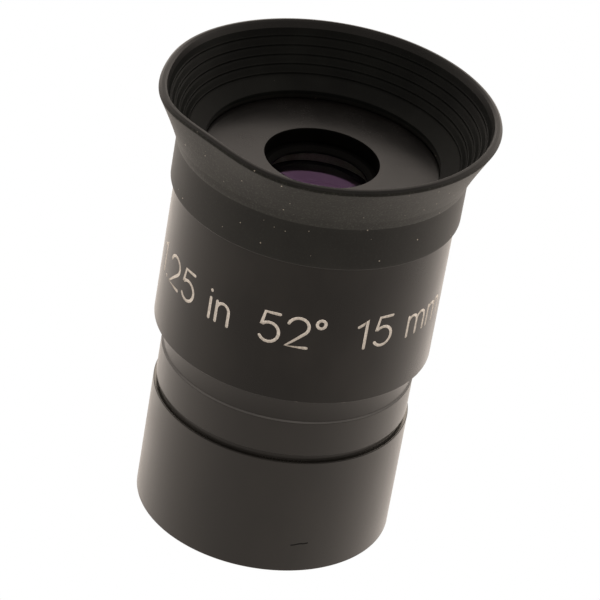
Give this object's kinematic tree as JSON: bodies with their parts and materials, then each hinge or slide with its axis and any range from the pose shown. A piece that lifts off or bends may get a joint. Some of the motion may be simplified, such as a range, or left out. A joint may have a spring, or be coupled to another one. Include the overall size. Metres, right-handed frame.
{
  "type": "telescope eyepiece",
  "caption": "Push-in telescope eyepiece: flared rubber eyecup on a turned black housing, two cemented doublets in a cell, and a barrel that unscrews.",
  "frame": {"origin": "centre of the barrel's lower end face, on the optical axis", "axes": "+Z along the optical axis from the telescope towards the observer's eye; -Y is the side that carries the middle marking"},
  "size_m": [0.0412, 0.0419, 0.0574],
  "materials": {
    "housing": "black anodised, satin, fine turning marks",
    "barrel": "black anodised, satin, fine turning marks",
    "eye_cap": "black anodised, bead blasted",
    "eyecup": "moulded soft rubber, fine grain with dust",
    "cell": "matt black anodised",
    "retainer": "black anodised, satin",
    "stop": "dead matt black",
    "coated_glass": "polished, violet anti-reflection coating",
    "clear_glass": "polished, blackened edge"
  },
  "bodies": {
    "housing": {"housing": "housing", "eye_cap": "eye_cap", "lens_cell": "cell", "eye_lens_retainer": "retainer", "eye_doublet_flint": "coated_glass", "eye_doublet_crown": "clear_glass", "lens_spacer": "cell", "field_doublet_crown": "clear_glass", "field_doublet_flint": "coated_glass", "field_lens_retainer": "retainer", "cell_lock_ring": "retainer"},
    "eyecup": {"eyecup": "eyecup"},
    "field_stop_tube": {"field_stop_sleeve": "stop", "field_stop": "stop"},
    "barrel": {"barrel": "barrel"}
  },
  "joints": [
    {"name": "eyecup_turn", "type": "hinge", "parent": "housing", "child": "eyecup", "pos_m": [0, 0, 0.047], "axis": [0, 0, 1], "continuous": true},
    {"name": "barrel_travel", "type": "slide", "parent": "housing", "child": "field_stop_tube", "axis": [0, 0, -1], "range_m": [0, 0.00263]},
    {"name": "barrel_turn", "type": "hinge", "parent": "field_stop_tube", "child": "barrel", "pos_m": [0, 0, 0.008], "axis": [0, 0, -1], "range_deg": [0, 1260]}
  ],
  "couplings": [
    {"joint": "barrel_travel", "follows": "barrel_turn", "m_per_rad": 0.00011937}
  ]
}
